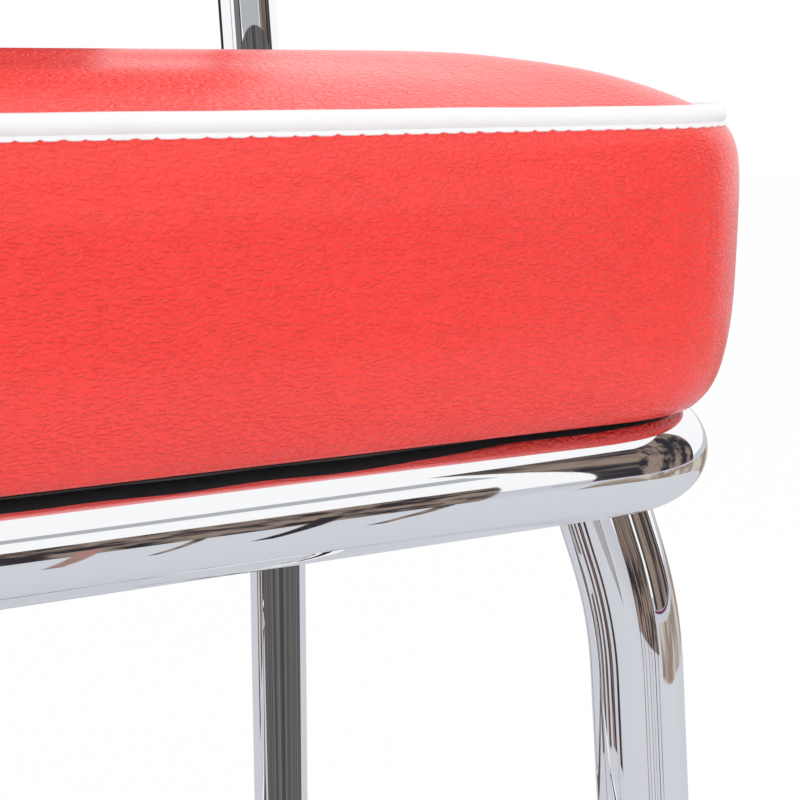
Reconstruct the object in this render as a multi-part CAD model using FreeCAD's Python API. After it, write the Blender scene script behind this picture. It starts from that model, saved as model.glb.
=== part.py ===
import FreeCAD, Part
import math
import os

# Counter stool with a padded box seat and a padded back on a chromed tube frame.
# Millimetres. The stool faces -Y, +Z is up, and +X is on the right when it is seen from its front.
# Everything is first built about the middle of the seat hoop, with Z measured from the floor.
# The last step moves it along Y, so that the origin is the middle of the whole stool on the floor.

# Tube frame
tube_d = 28.6
tube_wall = 1.5
hoop_width = 400.0
hoop_depth = 359.0
hoop_corner = 33.0
hoop_height = 530.0

# Front legs: a straight splayed leg whose top leans in under the seat
front_leg_inset_x = 13.9
front_leg_inset_y = 19.6
front_splay_x = 0.055
front_splay_y = 0.053
front_knee_drop = 51.0
front_top_lean = math.radians(19.0)
front_knee_radius = 144.0

# Rear legs: each runs on upwards as an upright of the back
rear_leg_inset = 2.5
rear_knee_drop = 47.0
rear_splay_x = 0.016
rear_rake = 0.052
upright_lean = 0.150
rear_knee_radius = 180.0
upright_height = 928.0
weld_bite = 0.8

# Foot bars
bar_d = 22.0
bar_wall = 1.2
front_bar_height = 235.0
side_bar_height = 205.0
rear_bar_height = 235.0

# Seat pad, measured from the outside of the hoop and from the underside of the cover
seat_side = 83.6
seat_crown = 17.0
cover_thickness = 1.5
foam_gap = 0.2
board_thickness = 12.0
dust_cover_thickness = 0.6
flange_width = 34.0
piping_d = 5.8
seam_offset = -1.6
upright_gap = 0.4

# Steel rails under the seat
rail_width = 38.0
rail_thickness = 5.0
rail_end_gap = 8.0
rear_rail_inset = 62.0
front_rail_offset = 13.4
staple_inset = 23.0
seat_bolt_x = 95.0

# Back pad
back_width = 424.0
back_height = 190.0
back_corner = 46.0
back_side = 34.0
back_crown = 10.0
back_panel = 4.0
back_board_thickness = 9.0
back_centre_height = 850.0
back_bolt_spacing = 90.0

# Fasteners
bolt_r = 3.0
bolt_clearance = 0.3
bolt_head_r = 5.0
bolt_head = 4.0
washer_r = 8.0
washer_thickness = 1.2
tee_barrel_r = 4.0
tee_barrel = 8.0
tee_flange_r = 9.0
tee_flange = 1.2

# Feet: a swivelling glide on a ball under each leg
ball_r = 6.0
ball_height = 10.0
socket_clearance = 0.05
sole_r = 15.0
sole_thickness = 2.5
base_top = 14.0
stem_r = 3.0
hex_start = 6.5
hex_end = 10.0
hex_r = 6.5
plug_flange_end = 13.0
plug_end = 34.0
stem_end = 32.0

tube_r = tube_d / 2
half_x = (hoop_width - tube_d) / 2
half_y = (hoop_depth - tube_d) / 2
hoop_top = hoop_height + tube_r
seat_base = hoop_top + dust_cover_thickness
rail_bottom = hoop_top - rail_thickness
front_rail_y = -half_y + front_leg_inset_y + front_rail_offset
rear_rail_y = half_y - rear_rail_inset
sides = {"left": -1, "right": 1}
up = FreeCAD.Vector(0, 0, 1)


def vec(x, y, z):
    return FreeCAD.Vector(x, y, z)


def rounded_outline(a, b, r, z):
    """Rounded rectangle of half sizes a and b as a closed wire of four lines and four arcs."""
    d = r * (1 - math.sqrt(0.5))
    edges = []
    corners = [(1, -1), (1, 1), (-1, 1), (-1, -1)]
    for i, (sx, sy) in enumerate(corners):
        along_x = vec(sx * (a - r), sy * b, z)
        along_y = vec(sx * a, sy * (b - r), z)
        middle = vec(sx * (a - d), sy * (b - d), z)
        start, end = (along_x, along_y) if i % 2 == 0 else (along_y, along_x)
        edges.append(Part.Arc(start, middle, end).toShape())
        nx, ny = corners[(i + 1) % 4]
        if i % 2 == 0:
            following = vec(nx * a, ny * (b - r), z)
        else:
            following = vec(nx * (a - r), ny * b, z)
        edges.append(Part.makeLine(end, following))
    return Part.Wire(edges)


def slab(a, b, r, bottom, thickness):
    """Flat plate with rounded corners."""
    face = Part.Face(rounded_outline(a, b, r, bottom))
    return face.extrude(vec(0, 0, thickness))


def rod(start, direction, radius, length):
    return Part.makeCylinder(radius, length, start, direction)


def bent_path(points, radius):
    """Straight runs through the points, joined by tangent arcs of one radius."""
    edges = []
    here = points[0]
    for before, corner, after in zip(points, points[1:], points[2:]):
        come = (corner - before).normalize()
        leave = (after - corner).normalize()
        turn = come.getAngle(leave)
        reach = radius * math.tan(turn / 2)
        first = corner - come * reach
        last = corner + leave * reach
        inward = (leave - come).normalize()
        middle = corner + inward * (radius / math.cos(turn / 2) - radius)
        edges.append(Part.makeLine(here, first))
        edges.append(Part.Arc(first, middle, last).toShape())
        here = last
    edges.append(Part.makeLine(here, points[-1]))
    return Part.Wire(edges)


def swept(path, radius):
    """Round solid along a path of lines and arcs."""
    start = path.Edges[0]
    point = start.valueAt(start.FirstParameter)
    tangent = start.tangentAt(start.FirstParameter)
    ring = Part.Wire(Part.Edge(Part.Circle(point, tangent, radius)))
    return path.makePipeShell([ring], True, False)


def hoop_solid(radius):
    """Closed tube along the hoop, as straight rods and quarter rings."""
    parts = []
    run_x = half_x - hoop_corner
    run_y = half_y - hoop_corner
    for s in (-1, 1):
        parts.append(rod(vec(-run_x, s * half_y, hoop_height), vec(1, 0, 0), radius, 2 * run_x))
        parts.append(rod(vec(s * half_x, -run_y, hoop_height), vec(0, 1, 0), radius, 2 * run_y))
    for sx, sy, turn in ((1, 1, 0), (-1, 1, 90), (-1, -1, 180), (1, -1, 270)):
        ring = Part.makeTorus(hoop_corner, radius, vec(0, 0, 0), up, -180, 180, 90)
        ring.rotate(vec(0, 0, 0), up, turn)
        ring.translate(vec(sx * run_x, sy * run_y, hoop_height))
        parts.append(ring)
    return parts[0].multiFuse(parts[1:]).removeSplitter()


def make_seat_hoop():
    return hoop_solid(tube_r).cut(hoop_solid(tube_r - tube_wall))


def front_leg_axis(side):
    """Ball centre, knee and top of a front leg's centre line."""
    drop = hoop_height - ball_height

    def lower(d):
        x = half_x - front_leg_inset_x + front_splay_x * d
        y = -half_y + front_leg_inset_y - front_splay_y * d
        return vec(side * x, y, hoop_height - d)

    knee = lower(front_knee_drop)
    inward = math.sin(front_top_lean) * math.sqrt(0.5)
    lean = vec(-side * inward, inward, math.cos(front_top_lean))
    top = knee + lean * ((hoop_top - knee.z) / lean.z)
    return lower(drop), knee, top


def rear_leg_axis(side):
    """Ball centre, knee and top of a rear leg and its upright."""
    across = hoop_corner - rear_leg_inset
    reach = hoop_corner + tube_d - weld_bite
    x = half_x - rear_leg_inset
    y = half_y - hoop_corner + math.sqrt(reach ** 2 - across ** 2)
    knee = vec(side * x, y - upright_lean * rear_knee_drop, hoop_height - rear_knee_drop)
    fall = knee.z - ball_height
    foot = knee + vec(side * rear_splay_x * fall, rear_rake * fall, -fall)
    rise = upright_height - knee.z
    top = knee + vec(0, upright_lean * rise, rise)
    return foot, knee, top


def leg_solid(axis, knee_radius, radius):
    """Bent round solid from the flange of the foot plug to the top of the leg."""
    ball, knee, top = axis
    start = ball + (knee - ball).normalize() * plug_flange_end
    return swept(bent_path([start, knee, top], knee_radius), radius)


def front_leg_solid(side, radius=tube_r):
    return leg_solid(front_leg_axis(side), front_knee_radius, radius)


def rear_leg_solid(side, radius=tube_r):
    return leg_solid(rear_leg_axis(side), rear_knee_radius, radius)


def make_front_leg(side):
    tube = front_leg_solid(side).cut(front_leg_solid(side, tube_r - tube_wall))
    above_rail = Part.makeBox(900, 900, 60, vec(-450, -450, rail_bottom))
    return tube.cut(above_rail).cut(hoop_solid(tube_r))


def make_rear_leg(side):
    tube = rear_leg_solid(side).cut(rear_leg_solid(side, tube_r - tube_wall))
    tube = tube.cut(hoop_solid(tube_r))
    for bolt_line in back_bolt_lines():
        start, direction = bolt_line
        if start.x * side > 0:
            hole = rod(start - direction * 2 * tube_d, direction, bolt_r + bolt_clearance, 4 * tube_d)
            tube = tube.cut(hole)
    return tube


def at_height(axis, z):
    """Point on a leg's lower straight run at a height."""
    foot, knee = axis[0], axis[1]
    return foot + (knee - foot) * ((z - foot.z) / (knee.z - foot.z))


def make_bar(start, end, legs):
    """Round bar between two leg centre lines, its ends shaped to sit on the legs."""
    length = (end - start).Length
    direction = (end - start).normalize()
    bar = rod(start, direction, bar_d / 2, length)
    bore = rod(start, direction, bar_d / 2 - bar_wall, length)
    bar = bar.cut(bore)
    for leg in legs:
        bar = bar.cut(leg)
    return bar


def make_foot_bars():
    front = {s: front_leg_solid(v) for s, v in sides.items()}
    rear = {s: rear_leg_solid(v) for s, v in sides.items()}
    bars = {}
    for name, height, axis, legs in (
        ("front_footrest_bar", front_bar_height, front_leg_axis, front),
        ("rear_stretcher", rear_bar_height, rear_leg_axis, rear),
    ):
        ends = [at_height(axis(v), height) for v in (-1, 1)]
        bars[name] = make_bar(ends[0], ends[1], legs.values())
    for s, v in sides.items():
        start = at_height(front_leg_axis(v), side_bar_height)
        end = at_height(rear_leg_axis(v), side_bar_height)
        bars[s + "_side_stretcher"] = make_bar(start, end, (front[s], rear[s]))
    return bars


def make_rail(y):
    """Flat steel rail across the hoop, its ends shaped to the hoop's tube, with two bolt holes."""
    half_length = half_x - rail_end_gap
    rail = Part.makeBox(2 * half_length, rail_width, rail_thickness,
                        vec(-half_length, y - rail_width / 2, rail_bottom))
    rail = rail.cut(hoop_solid(tube_r))
    for s in (-1, 1):
        hole = rod(vec(s * seat_bolt_x, y, rail_bottom - 1), up, bolt_r + bolt_clearance, rail_thickness + 2)
        rail = rail.cut(hole)
    return rail


def pad_solid(a, b, corner, side, crown, inset):
    """Box cushion: tucked under at the foot, bulging sides drawn in at the top seam, domed top.

    a and b are the half sizes of what the pad sits on. inset shrinks it on every face.
    wall pairs a share of the side's height with an offset in mm, dome a share of the crown's
    height with a share of the way in to its flat middle.
    """
    wall = [(0.0, -4.0), (0.06, 0.7), (0.14, 3.1), (0.30, 5.3), (0.57, 5.8), (0.86, 5.3), (0.95, 2.4), (1.0, -2.2)]
    dome = [(0.0, 0.0), (0.16, 0.04), (0.45, 0.16), (0.76, 0.40), (0.94, 0.70), (1.0, 1.0)]
    seam = wall[-1][1]
    way_in = 0.57 * b
    height = side - inset

    def ring(offset, z):
        grow = offset - inset
        r = corner + grow if grow > -inset else corner + 0.35 * grow
        return rounded_outline(a + grow, b + grow, r, z)

    lower = [ring(o, inset + t * (height - inset)) for t, o in wall]
    upper = [ring(seam - share * way_in, height + t * crown) for t, share in dome]
    body = Part.makeLoft(lower, True, False)
    top = Part.makeLoft(upper, True, False)
    return body.fuse(top)


def seat_pad(inset):
    """Seat pad with the shallow dents that the two uprights press into its rear corners."""
    pad = pad_solid(hoop_width / 2, hoop_depth / 2, hoop_corner + tube_r, seat_side, seat_crown, inset)
    pad.translate(vec(0, 0, seat_base))
    for side in sides.values():
        pad = pad.cut(rear_leg_solid(side, tube_r + upright_gap + inset))
    return pad


def seat_outline_slab(offset, bottom, thickness):
    """Plate that follows the hoop's outside at an offset."""
    corner = hoop_corner + tube_r + offset
    return slab(hoop_width / 2 + offset, hoop_depth / 2 + offset, corner, bottom, thickness)


def seat_bolt_places():
    return [vec(s * seat_bolt_x, y, 0) for y in (front_rail_y, rear_rail_y) for s in (-1, 1)]


def make_seat_cover():
    """Vinyl cover, turned in under the board."""
    window = seat_outline_slab(-flange_width, seat_base - 1, cover_thickness + 2)
    return seat_pad(0).cut(seat_pad(cover_thickness)).cut(window)


def make_seat_board():
    board = seat_outline_slab(-7, seat_base + cover_thickness, board_thickness)
    for place in seat_bolt_places():
        board = board.cut(rod(vec(place.x, place.y, seat_base), up, tee_barrel_r, 3 * board_thickness))
    return board


def make_seat_foam():
    foam = seat_pad(cover_thickness + foam_gap)
    board_top = seat_base + cover_thickness + board_thickness
    below = Part.makeBox(900, 900, board_top - seat_base + 20, vec(-450, -450, seat_base - 20))
    foam = foam.cut(below)
    for place in seat_bolt_places():
        pocket = rod(vec(place.x, place.y, board_top - 1), up, tee_flange_r + foam_gap, tee_flange + foam_gap + 1)
        foam = foam.cut(pocket)
    return foam


def make_dust_cover():
    sheet = seat_outline_slab(-10, hoop_top, dust_cover_thickness)
    for place in seat_bolt_places():
        sheet = sheet.cut(rod(vec(place.x, place.y, hoop_top - 1), up, bolt_r + bolt_clearance, 3))
    return sheet


def piping_loop(a, b, corner, z, thickness):
    """Round welt cord around a top seam."""
    path = rounded_outline(a, b, corner, z)
    start = path.Edges[0]
    ring = Part.Wire(Part.Edge(Part.Circle(start.valueAt(start.FirstParameter),
                                           start.tangentAt(start.FirstParameter), thickness / 2)))
    return path.makePipeShell([ring], True, False)


def make_seat_piping():
    loop = piping_loop(hoop_width / 2 + seam_offset, hoop_depth / 2 + seam_offset,
                       hoop_corner + tube_r + seam_offset, seat_base + seat_side, piping_d)
    return loop.cut(seat_pad(0))


def make_staples():
    """Staple crowns through the dust cover, a row along each side."""
    crown_length = 10.0
    crown_width = 1.2
    crown_height = 0.5
    staples = []
    row_x = hoop_width / 2 - staple_inset
    row_y = hoop_depth / 2 - staple_inset
    bottom = hoop_top - crown_height
    for i in range(-3, 4):
        for s in (-1, 1):
            x = i * 44.0
            staples.append(Part.makeBox(crown_length, crown_width, crown_height,
                                        vec(x - crown_length / 2, s * row_y - crown_width / 2, bottom)))
    for y in (-78.0, -38.0, 2.0, 42.0, 72.0):
        for s in (-1, 1):
            staples.append(Part.makeBox(crown_width, crown_length, crown_height,
                                        vec(s * row_x - crown_width / 2, y - crown_length / 2, bottom)))
    return staples


def hex_head(centre, direction, across_r, height):
    """Hexagonal head whose base is centred on a point."""
    corners = [vec(across_r * math.cos(math.radians(60 * i)), across_r * math.sin(math.radians(60 * i)), 0)
               for i in range(7)]
    head = Part.Face(Part.makePolygon(corners)).extrude(vec(0, 0, height))
    head.Placement = FreeCAD.Placement(centre, FreeCAD.Rotation(up, direction))
    return head


def bolt(under_head, direction, length):
    """Hexagon bolt: the shank runs along direction, the head stands the other way."""
    shank = rod(under_head, direction, bolt_r, length)
    head = hex_head(under_head - direction * bolt_head, direction, bolt_head_r, bolt_head)
    return shank.fuse(head)


def washer(at, direction):
    outer = rod(at, direction, washer_r, washer_thickness)
    return outer.cut(rod(at - direction, direction, bolt_r + bolt_clearance, washer_thickness + 2))


def tee_nut(flange_at, direction):
    """Barrel nut pressed into a board: the flange lies on the board, the barrel runs along direction."""
    flange = rod(flange_at - direction * tee_flange, direction, tee_flange_r, tee_flange)
    barrel = rod(flange_at, direction, tee_barrel_r, tee_barrel)
    bore = rod(flange_at - direction * 2 * tee_flange, direction, bolt_r, tee_barrel + 4 * tee_flange)
    return flange.fuse(barrel).cut(bore)


def make_seat_fasteners():
    bolts, washers, nuts = [], [], []
    board_top = seat_base + cover_thickness + board_thickness
    head_bottom = rail_bottom - washer_thickness
    for place in seat_bolt_places():
        bolts.append(bolt(vec(place.x, place.y, head_bottom), up, board_top - head_bottom - 1))
        washers.append(washer(vec(place.x, place.y, head_bottom), up))
        nuts.append(tee_nut(vec(place.x, place.y, board_top), vec(0, 0, -1)))
    return bolts, washers, nuts


def back_tilt():
    """Rotation that stands a pad built lying down against the leaning uprights."""
    lean = math.degrees(math.atan(upright_lean))
    return FreeCAD.Rotation(vec(1, 0, 0), 90 - lean)


def back_origin():
    """Middle of the pad's rear face, on the front of the uprights."""
    knee, top = rear_leg_axis(1)[1:]
    axis = knee + (top - knee) * ((back_centre_height - knee.z) / (top.z - knee.z))
    return vec(0, axis.y, axis.z) + back_tilt().multVec(vec(0, 0, tube_r))


def place_back(shape):
    shape.Placement = FreeCAD.Placement(back_origin(), back_tilt()).multiply(shape.Placement)
    return shape


def back_bolt_lines():
    """Start on the upright's centre line and direction of each back bolt."""
    tilt = back_tilt()
    forward = tilt.multVec(vec(0, 0, 1))
    climb = tilt.multVec(vec(0, 1, 0))
    x = half_x - rear_leg_inset
    centre = back_origin() - forward * tube_r
    return [(centre + vec(s * x, 0, 0) + climb * (t * back_bolt_spacing / 2), forward)
            for s in (-1, 1) for t in (-1, 1)]


def back_pad(inset):
    pad = pad_solid(back_width / 2 - 9, back_height / 2 - 9, back_corner, back_side, back_crown, inset)
    pad.translate(vec(0, 0, back_panel))
    return pad


def back_local_bolts():
    x = half_x - rear_leg_inset
    return [vec(s * x, t * back_bolt_spacing / 2, 0) for s in (-1, 1) for t in (-1, 1)]


def make_back_parts():
    """Cover, foam, board, rear panel and piping of the back pad, built lying down."""
    a = back_width / 2 - 9
    b = back_height / 2 - 9
    window = slab(a - 18, b - 18, back_corner - 18, back_panel - 1, cover_thickness + 2)
    cover = back_pad(0).cut(back_pad(cover_thickness)).cut(window)
    board_bottom = back_panel + cover_thickness
    board_top = board_bottom + back_board_thickness
    board = slab(a - 7, b - 7, back_corner - 7, board_bottom, back_board_thickness)
    foam = back_pad(cover_thickness + foam_gap)
    foam = foam.cut(Part.makeBox(900, 900, board_top + 20, vec(-450, -450, -20)))
    panel = slab(a - 6, b - 6, back_corner - 6, 0, back_panel)
    for place in back_local_bolts():
        cover = cover.cut(rod(place, up, bolt_r + bolt_clearance, board_bottom + 1))
        board = board.cut(rod(place, up, tee_barrel_r, 3 * board_top))
        panel = panel.cut(rod(place - up, up, bolt_r + bolt_clearance, 2 * board_top))
        pocket = rod(place + up * (board_top - 1), up, tee_flange_r + foam_gap, tee_flange + foam_gap + 1)
        foam = foam.cut(pocket)
    piping = piping_loop(a + seam_offset, b + seam_offset, back_corner + seam_offset,
                         back_panel + back_side, piping_d)
    piping = piping.cut(back_pad(0))
    made = {"back_cover": cover, "back_foam": foam, "back_board": board,
            "back_rear_panel": panel, "back_piping": piping}
    return {name: place_back(shape) for name, shape in made.items()}


def make_back_fasteners():
    """Bolts through the uprights into the nuts in the back board."""
    bolts, washers, nuts = [], [], []
    board_top = back_panel + cover_thickness + back_board_thickness
    for start, forward in back_bolt_lines():
        seat = start - forward * (tube_r + washer_thickness)
        bolts.append(bolt(seat, forward, 2 * tube_r + washer_thickness + board_top - 1))
        washers.append(washer(seat, forward))
        nuts.append(tee_nut(start + forward * (tube_r + board_top), forward * -1))
    return bolts, washers, nuts


def make_upright_plug(side):
    """Domed plastic plug in the open top of an upright."""
    knee, top = rear_leg_axis(side)[1:]
    direction = (top - knee).normalize()
    insert_r = tube_r - tube_wall - 0.05
    insert = rod(top - direction * 18, direction, insert_r, 18)
    dome_height = 6.0
    dome_r = (tube_r ** 2 + dome_height ** 2) / (2 * dome_height)
    ball = Part.makeSphere(dome_r, top + direction * (dome_height - dome_r))
    dome = ball.common(rod(top, direction, tube_r, dome_height + 1))
    return insert.fuse(dome)


def foot_axis(leg, side):
    axis = front_leg_axis(side) if leg == "front" else rear_leg_axis(side)
    return axis[0], (axis[1] - axis[0]).normalize()


def make_leg_plug(leg, side):
    """Plastic insert that closes the leg and holds the glide's stem."""
    ball, direction = foot_axis(leg, side)
    flange = rod(ball + direction * hex_end, direction, tube_r, plug_flange_end - hex_end)
    insert = rod(ball + direction * plug_flange_end, direction, tube_r - tube_wall - 0.05, plug_end - plug_flange_end)
    bore = rod(ball, direction, stem_r, plug_end + 5)
    return flange.fuse(insert).cut(bore)


def make_glide_stem(leg, side):
    """Steel stem with a ball below, a hexagon collar and a shank in the plug."""
    ball, direction = foot_axis(leg, side)
    stem = rod(ball, direction, stem_r, stem_end)
    collar = hex_head(ball + direction * hex_start, direction, hex_r, hex_end - hex_start)
    return Part.makeSphere(ball_r, ball).fuse(stem).fuse(collar)


def make_glide_base(leg, side):
    """Steel cup round the ball, level on the floor whatever the leg's splay."""
    ball = foot_axis(leg, side)[0]
    edge_r = sole_r - 0.8
    rim_r = 8.2
    shoulder = 6.0
    profile = [vec(0, 0, sole_thickness), vec(edge_r, 0, sole_thickness), vec(edge_r, 0, shoulder),
               vec(rim_r, 0, base_top), vec(0, 0, base_top), vec(0, 0, sole_thickness)]
    cup = Part.Face(Part.makePolygon(profile)).revolve(vec(0, 0, 0), up, 360)
    cup.translate(vec(ball.x, ball.y, 0))
    return cup.cut(Part.makeSphere(ball_r + socket_clearance, ball))


def make_glide_sole(leg, side):
    """Nylon disc under the cup, the face that stands on the floor."""
    ball = foot_axis(leg, side)[0]
    chamfer = 0.6
    profile = [vec(0, 0, 0), vec(sole_r - chamfer, 0, 0), vec(sole_r, 0, chamfer),
               vec(sole_r, 0, sole_thickness), vec(0, 0, sole_thickness), vec(0, 0, 0)]
    disc = Part.Face(Part.makePolygon(profile)).revolve(vec(0, 0, 0), up, 360)
    disc.translate(vec(ball.x, ball.y, 0))
    return disc


def build_nodes():
    nodes = {"seat_hoop": make_seat_hoop()}
    for s, v in sides.items():
        nodes["front_leg_" + s] = make_front_leg(v)
        nodes["rear_leg_" + s] = make_rear_leg(v)
        nodes["upright_plug_" + s] = make_upright_plug(v)
    nodes.update(make_foot_bars())
    nodes["front_cross_rail"] = make_rail(front_rail_y)
    nodes["rear_cross_rail"] = make_rail(rear_rail_y)
    nodes["seat_cover"] = make_seat_cover()
    nodes["seat_board"] = make_seat_board()
    nodes["seat_foam"] = make_seat_foam()
    nodes["seat_dust_cover"] = make_dust_cover()
    nodes["seat_piping"] = make_seat_piping()
    nodes["seat_staples"] = Part.makeCompound(make_staples())
    for group, items in zip(("seat_bolts", "seat_washers", "seat_tee_nuts"), make_seat_fasteners()):
        nodes[group] = Part.makeCompound(items)
    nodes.update(make_back_parts())
    for group, items in zip(("back_bolts", "back_washers", "back_tee_nuts"), make_back_fasteners()):
        nodes[group] = Part.makeCompound(items)
    for leg in ("front", "rear"):
        for s, v in sides.items():
            place = leg + "_" + s
            nodes["leg_plug_" + place] = make_leg_plug(leg, v)
            nodes["glide_stem_" + place] = make_glide_stem(leg, v)
            nodes["glide_base_" + place] = make_glide_base(leg, v)
            nodes["glide_sole_" + place] = make_glide_sole(leg, v)
    return nodes


def centre_on_floor(nodes):
    """Move everything along Y, so that the origin is midway between the front and the rear."""
    boxes = [shape.optimalBoundingBox(False, False) for shape in nodes.values()]
    middle = (min(b.YMin for b in boxes) + max(b.YMax for b in boxes)) / 2
    for shape in nodes.values():
        shape.translate(vec(0, -middle, 0))
    return middle


def main():
    os.makedirs("parts", exist_ok=True)
    nodes = build_nodes()
    moved = centre_on_floor(nodes)
    print("moved along Y by", round(-moved, 3))
    for leg in ("front", "rear"):
        for s, v in sides.items():
            ball = foot_axis(leg, v)[0]
            print(leg, s, "ball centre", [round(c, 3) for c in (ball.x, ball.y - moved, ball.z)])
    for name, shape in nodes.items():
        if not shape.isValid() or not shape.Solids:
            print("check", name, shape.isValid(), len(shape.Solids))
        shape.exportStep("parts/" + name + ".step")
    print(len(nodes), "nodes")


main()
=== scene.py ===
import math
import random

import bmesh
import bpy
from bpy.props import FloatProperty, FloatVectorProperty, PointerProperty
from mathutils import Matrix, Vector


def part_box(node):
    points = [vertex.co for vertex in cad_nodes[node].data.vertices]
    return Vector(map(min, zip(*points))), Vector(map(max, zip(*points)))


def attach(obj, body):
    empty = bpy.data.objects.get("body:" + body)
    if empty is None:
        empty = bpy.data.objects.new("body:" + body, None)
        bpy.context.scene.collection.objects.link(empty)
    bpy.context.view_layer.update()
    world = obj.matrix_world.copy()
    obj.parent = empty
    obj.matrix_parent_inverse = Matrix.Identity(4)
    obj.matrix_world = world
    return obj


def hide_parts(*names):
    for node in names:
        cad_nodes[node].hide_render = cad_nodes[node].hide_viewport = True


bl_info = {
    "name": "Diner Counter Stool",
    "version": (1, 0, 0),
    "blender": (4, 5, 0),
    "location": "3D View > Sidebar > Stool",
    "description": "Builds the pads, chromed tubes, finishes and studio of a counter stool on its frame",
    "category": "Object",
}

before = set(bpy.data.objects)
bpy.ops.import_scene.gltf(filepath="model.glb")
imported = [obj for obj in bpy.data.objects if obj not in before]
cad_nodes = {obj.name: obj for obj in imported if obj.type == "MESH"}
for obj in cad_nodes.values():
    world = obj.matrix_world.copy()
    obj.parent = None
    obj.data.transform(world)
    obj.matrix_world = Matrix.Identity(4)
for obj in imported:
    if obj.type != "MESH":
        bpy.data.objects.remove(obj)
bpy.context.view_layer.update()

PLACES = ("front_left", "front_right", "rear_left", "rear_right")
SIDES = {"left": -1, "right": 1}

hoop_low, hoop_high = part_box("seat_hoop")
HOOP_Z = (hoop_low.z + hoop_high.z) / 2
HOOP_TOP = hoop_high.z
HOOP_Y = round((hoop_low.y + hoop_high.y) / 2, 5)
SEAT_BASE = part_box("seat_cover")[0].z


def centre_of(node):
    low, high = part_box(node)
    return (low + high) / 2


# Settings


def length(name, default, description):
    return FloatProperty(name=name, default=default, description=description, unit="LENGTH", precision=4)


def colour(name, default, description):
    return FloatVectorProperty(name=name, default=default, description=description, subtype="COLOR",
                               size=3, min=0, max=1)


class StoolSizes(bpy.types.PropertyGroup):
    tube: length("Tube", 0.0286, "Outside width of the frame tube")
    tube_wall: length("Tube wall", 0.0015, "Thickness of the frame tube")
    hoop_width: length("Hoop width", 0.400, "Width over the hoop under the seat")
    hoop_depth: length("Hoop depth", 0.359, "Depth over the hoop under the seat")
    hoop_corner: length("Hoop corner", 0.033, "Bend radius of the hoop's centre line")
    front_inset_x: length("Front leg inset, sideways", 0.0139, "Front leg's middle inside the hoop's")
    front_inset_y: length("Front leg inset, back", 0.0196, "Front leg's middle behind the hoop's")
    front_knee: length("Front knee drop", 0.051, "Front leg's bend below the hoop")
    front_splay: FloatVectorProperty(name="Front splay", default=(0.055, 0.053), size=2,
                                     description="Run sideways and forwards for one unit of fall")
    front_bend: length("Front bend", 0.144, "Bend radius of a front leg's centre line")
    rear_inset: length("Rear leg inset", 0.0025, "Rear leg's middle inside the hoop's, sideways")
    rear_knee: length("Rear knee drop", 0.047, "Rear leg's bend below the hoop")
    rear_splay: FloatVectorProperty(name="Rear splay", default=(0.016, 0.052), size=2,
                                    description="Run sideways and backwards for one unit of fall")
    rear_bend: length("Rear bend", 0.180, "Bend radius of a rear leg's centre line")
    upright_top: length("Upright top", 0.928, "Height of the top of an upright")
    ankle: length("Ankle", 0.010, "Height of the ball under a leg")
    plug_flange: length("Plug flange", 0.013, "End of a leg's tube above the ball, along the leg")
    bar: length("Foot bar", 0.022, "Outside width of the foot bars")
    seat_side: length("Seat side", 0.0836, "Height of the seat's side up to its seam")
    seat_crown: length("Seat crown", 0.017, "Height of the seat's top above its seam")
    piping: length("Piping", 0.0056, "Width of the welt cord")
    notch_pitch: length("Gather pitch", 0.0054, "Distance between the gathers along the seam")
    back_width: length("Back width", 0.406, "Width of the back pad's board")
    back_height: length("Back height", 0.172, "Height of the back pad's board")
    back_corner: length("Back corner", 0.046, "Corner radius of the back pad's board")
    back_side: length("Back side", 0.034, "Thickness of the back pad up to its seam")
    back_crown: length("Back crown", 0.010, "Height of the back pad's front above its seam")
    back_panel: length("Back panel", 0.004, "Thickness of the panel behind the back pad")
    back_centre: length("Back centre", 0.850, "Height of the middle of the back pad")
    upright_lean: FloatProperty(name="Upright lean", default=0.150,
                                description="Run back of an upright for one unit of its rise")
    swell: length("Swell", 0.0010, "How far the padding may press a cover out")


class StoolColours(bpy.types.PropertyGroup):
    vinyl: colour("Vinyl", (0.95, 0.022, 0.011), "Cover of the seat and back")
    piping: colour("Piping", (0.81, 0.81, 0.82), "Welt cord")
    chrome: colour("Chrome", (0.93, 0.935, 0.95), "Plated tubes")
    cloth: colour("Dust cloth", (0.012, 0.011, 0.013), "Cloth under the seat")
    plastic: colour("Plastic", (0.022, 0.022, 0.024), "Plugs in the tubes")
    floor: colour("Floor", (0.90, 0.91, 0.93), "Floor and backdrop")


def sizes():
    return bpy.context.scene.stool_sizes


def colours():
    return bpy.context.scene.stool_colours


# Finishes


class Wire:
    """A node's output socket, with the arithmetic that adds Math nodes to its finish."""

    def __init__(self, finish, socket):
        self.finish = finish
        self.socket = socket

    def math(self, operation, *values):
        return self.finish.node("ShaderNodeMath", {"operation": operation}, dict(enumerate(values)))

    def __add__(self, other):
        return self.math("ADD", self, other)

    def __radd__(self, other):
        return self.math("ADD", other, self)

    def __sub__(self, other):
        return self.math("SUBTRACT", self, other)

    def __rsub__(self, other):
        return self.math("SUBTRACT", other, self)

    def __mul__(self, other):
        return self.math("MULTIPLY", self, other)

    def __rmul__(self, other):
        return self.math("MULTIPLY", other, self)

    def __truediv__(self, other):
        return self.math("DIVIDE", self, other)

    def __abs__(self):
        return self.math("ABSOLUTE", self)

    def __pow__(self, other):
        return self.math("POWER", self, other)

    def step(self, low, high, start=0.0, end=1.0):
        """Smooth change from start to end as the value goes from low to high."""
        values = {"Value": self, "From Min": low, "From Max": high, "To Min": start, "To Max": end}
        return self.finish.node("ShaderNodeMapRange", {"interpolation_type": "SMOOTHSTEP"}, values)


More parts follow.
